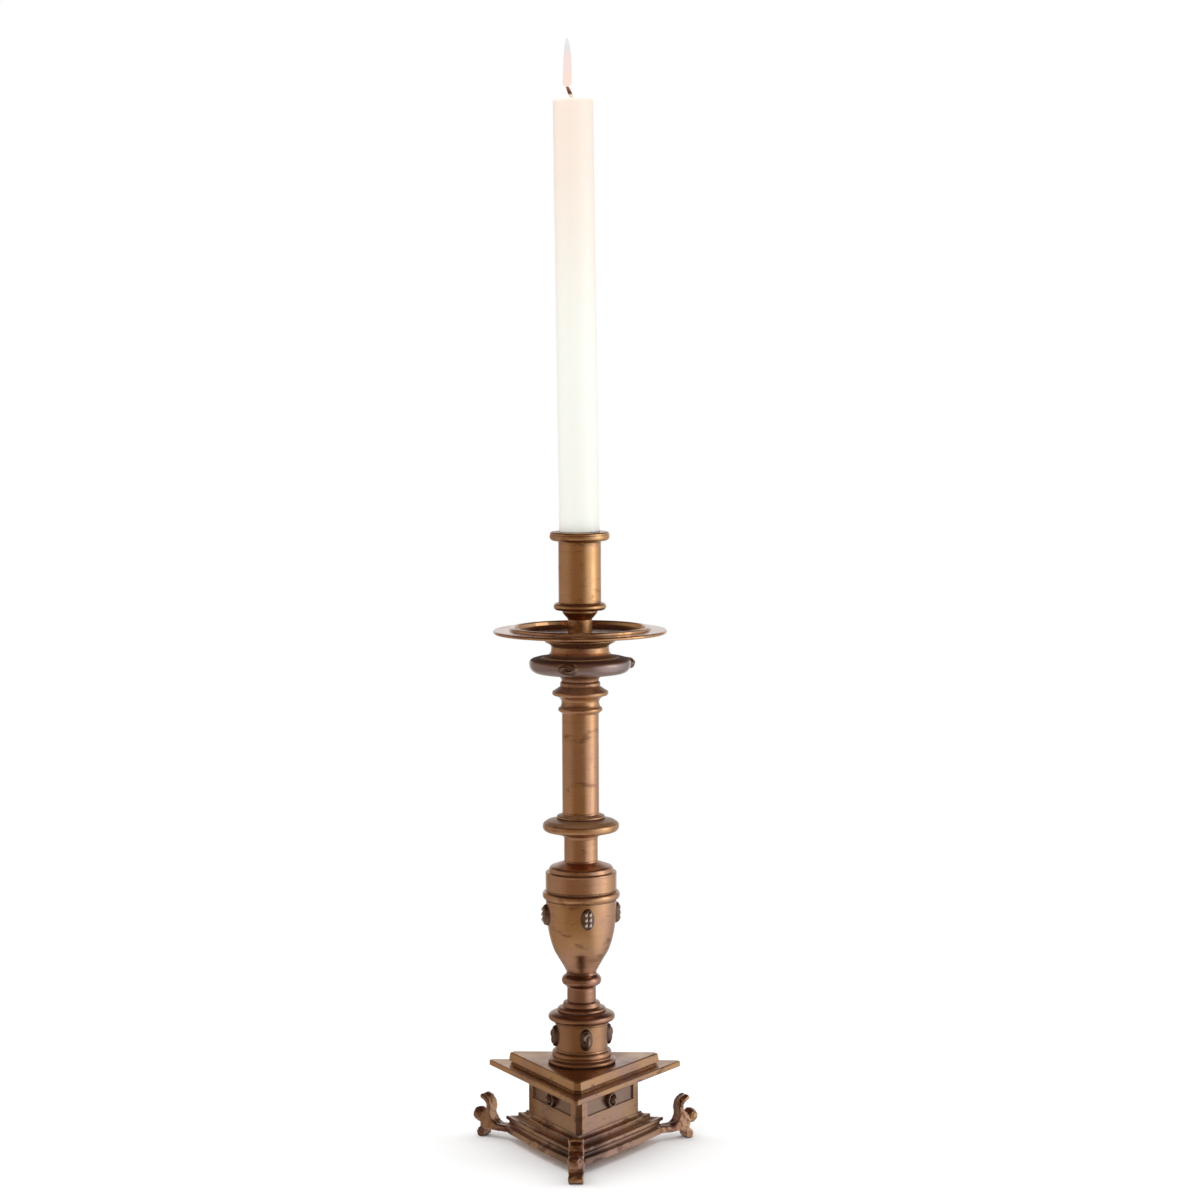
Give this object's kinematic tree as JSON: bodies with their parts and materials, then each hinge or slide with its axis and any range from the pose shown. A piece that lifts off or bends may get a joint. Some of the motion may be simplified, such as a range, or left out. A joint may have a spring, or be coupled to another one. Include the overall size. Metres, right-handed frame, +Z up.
{
  "type": "candlestick",
  "caption": "Tall brass candlestick: turned column with urn, disc and drip pan on a three-cornered footed plinth, holding a slim candle.",
  "frame": {"origin": "where the column's axis meets the surface that the feet stand on", "axes": "+Z up along the column's axis; -Y towards one corner foot of the three-cornered base"},
  "size_m": [0.127, 0.1205, 0.5867],
  "materials": {
    "aged_brass": "aged satin",
    "dark_brass": "dark patina with worn highlights",
    "steel": "plain",
    "wax": "smooth wax",
    "wick": "charred cotton"
  },
  "bodies": {
    "candlestick": {"foot_front": "aged_brass", "foot_right": "aged_brass", "foot_left": "aged_brass", "foot_screws": "steel", "plinth": "aged_brass", "die": "aged_brass", "cornice": "aged_brass", "cap": "aged_brass", "drum_base": "aged_brass", "drum": "aged_brass", "drum_cap": "aged_brass", "knop": "aged_brass", "urn": "aged_brass", "urn_lid": "aged_brass", "collar_neck": "aged_brass", "collar": "aged_brass", "stem": "aged_brass", "capital": "aged_brass", "boss_disc": "aged_brass", "pan_spool": "aged_brass", "drip_pan": "aged_brass", "cup_stand": "aged_brass", "candle_cup": "aged_brass", "tie_rod": "steel", "tie_washer": "steel", "tie_nut": "steel", "urn_cabochons": "dark_brass", "drum_cabochons": "dark_brass", "disc_rosettes": "dark_brass", "die_rosettes": "dark_brass"},
    "candle": {"candle": "wax", "wick": "wick"}
  },
  "joints": [
    {"name": "candle_lift", "type": "slide", "parent": "candlestick", "child": "candle", "axis": [0, 0, 1], "range_m": [0, 0.03]}
  ]
}
